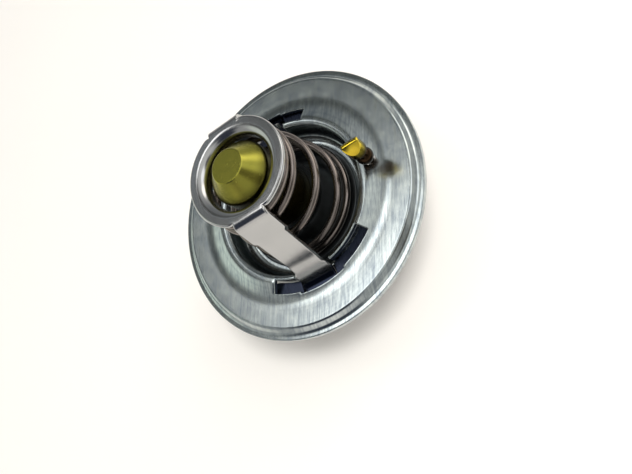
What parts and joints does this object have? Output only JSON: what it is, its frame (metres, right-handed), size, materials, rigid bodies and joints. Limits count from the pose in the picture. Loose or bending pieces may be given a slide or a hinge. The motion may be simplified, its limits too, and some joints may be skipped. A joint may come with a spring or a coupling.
{
  "type": "engine thermostat",
  "caption": "Wax-pellet coolant valve: round stamped flange, conical main spring held by a hooked frame, wax case, valve disc, arched bridge and a jiggle pin.",
  "frame": {"origin": "centre of the flange, on the rim face that looks towards the wax pellet", "axes": "+Z along the axis towards the wax pellet, +X through one leg of the spring frame"},
  "size_m": [0.054, 0.054, 0.0388],
  "materials": {
    "zinc_steel": "zinc plated, finely brushed",
    "blued_steel": "blued strip",
    "polished_steel": "bright drawn",
    "spring_steel": "drawn wire",
    "valve_steel": "bright stamped",
    "case_brass": "dull turned",
    "piston_steel": "ground",
    "black_rubber": "moulded",
    "washer_plastic": "moulded",
    "wax": "cast",
    "pin_brass": "bright turned"
  },
  "bodies": {
    "housing": {"flange": "zinc_steel", "bridge": "blued_steel", "spring_frame": "polished_steel", "piston": "piston_steel", "main_spring": "spring_steel"},
    "element": {"main_valve": "valve_steel", "wax_case": "case_brass", "wax_charge": "wax", "elastomer_sleeve": "black_rubber", "backup_washer": "washer_plastic", "piston_seal": "black_rubber", "piston_guide": "case_brass"},
    "vent_pin": {"jiggle_pin": "pin_brass"}
  },
  "joints": [
    {"name": "valve_lift", "type": "slide", "parent": "housing", "child": "element", "axis": [0, 0, 1], "range_m": [0, 0.008], "stiffness_N_per_m": 2000, "springref_m": -0.0005, "deforming": ["main_spring"]},
    {"name": "pin_jiggle", "type": "slide", "parent": "housing", "child": "vent_pin", "axis": [0, 0, 1], "range_m": [0, 0.0015]}
  ]
}
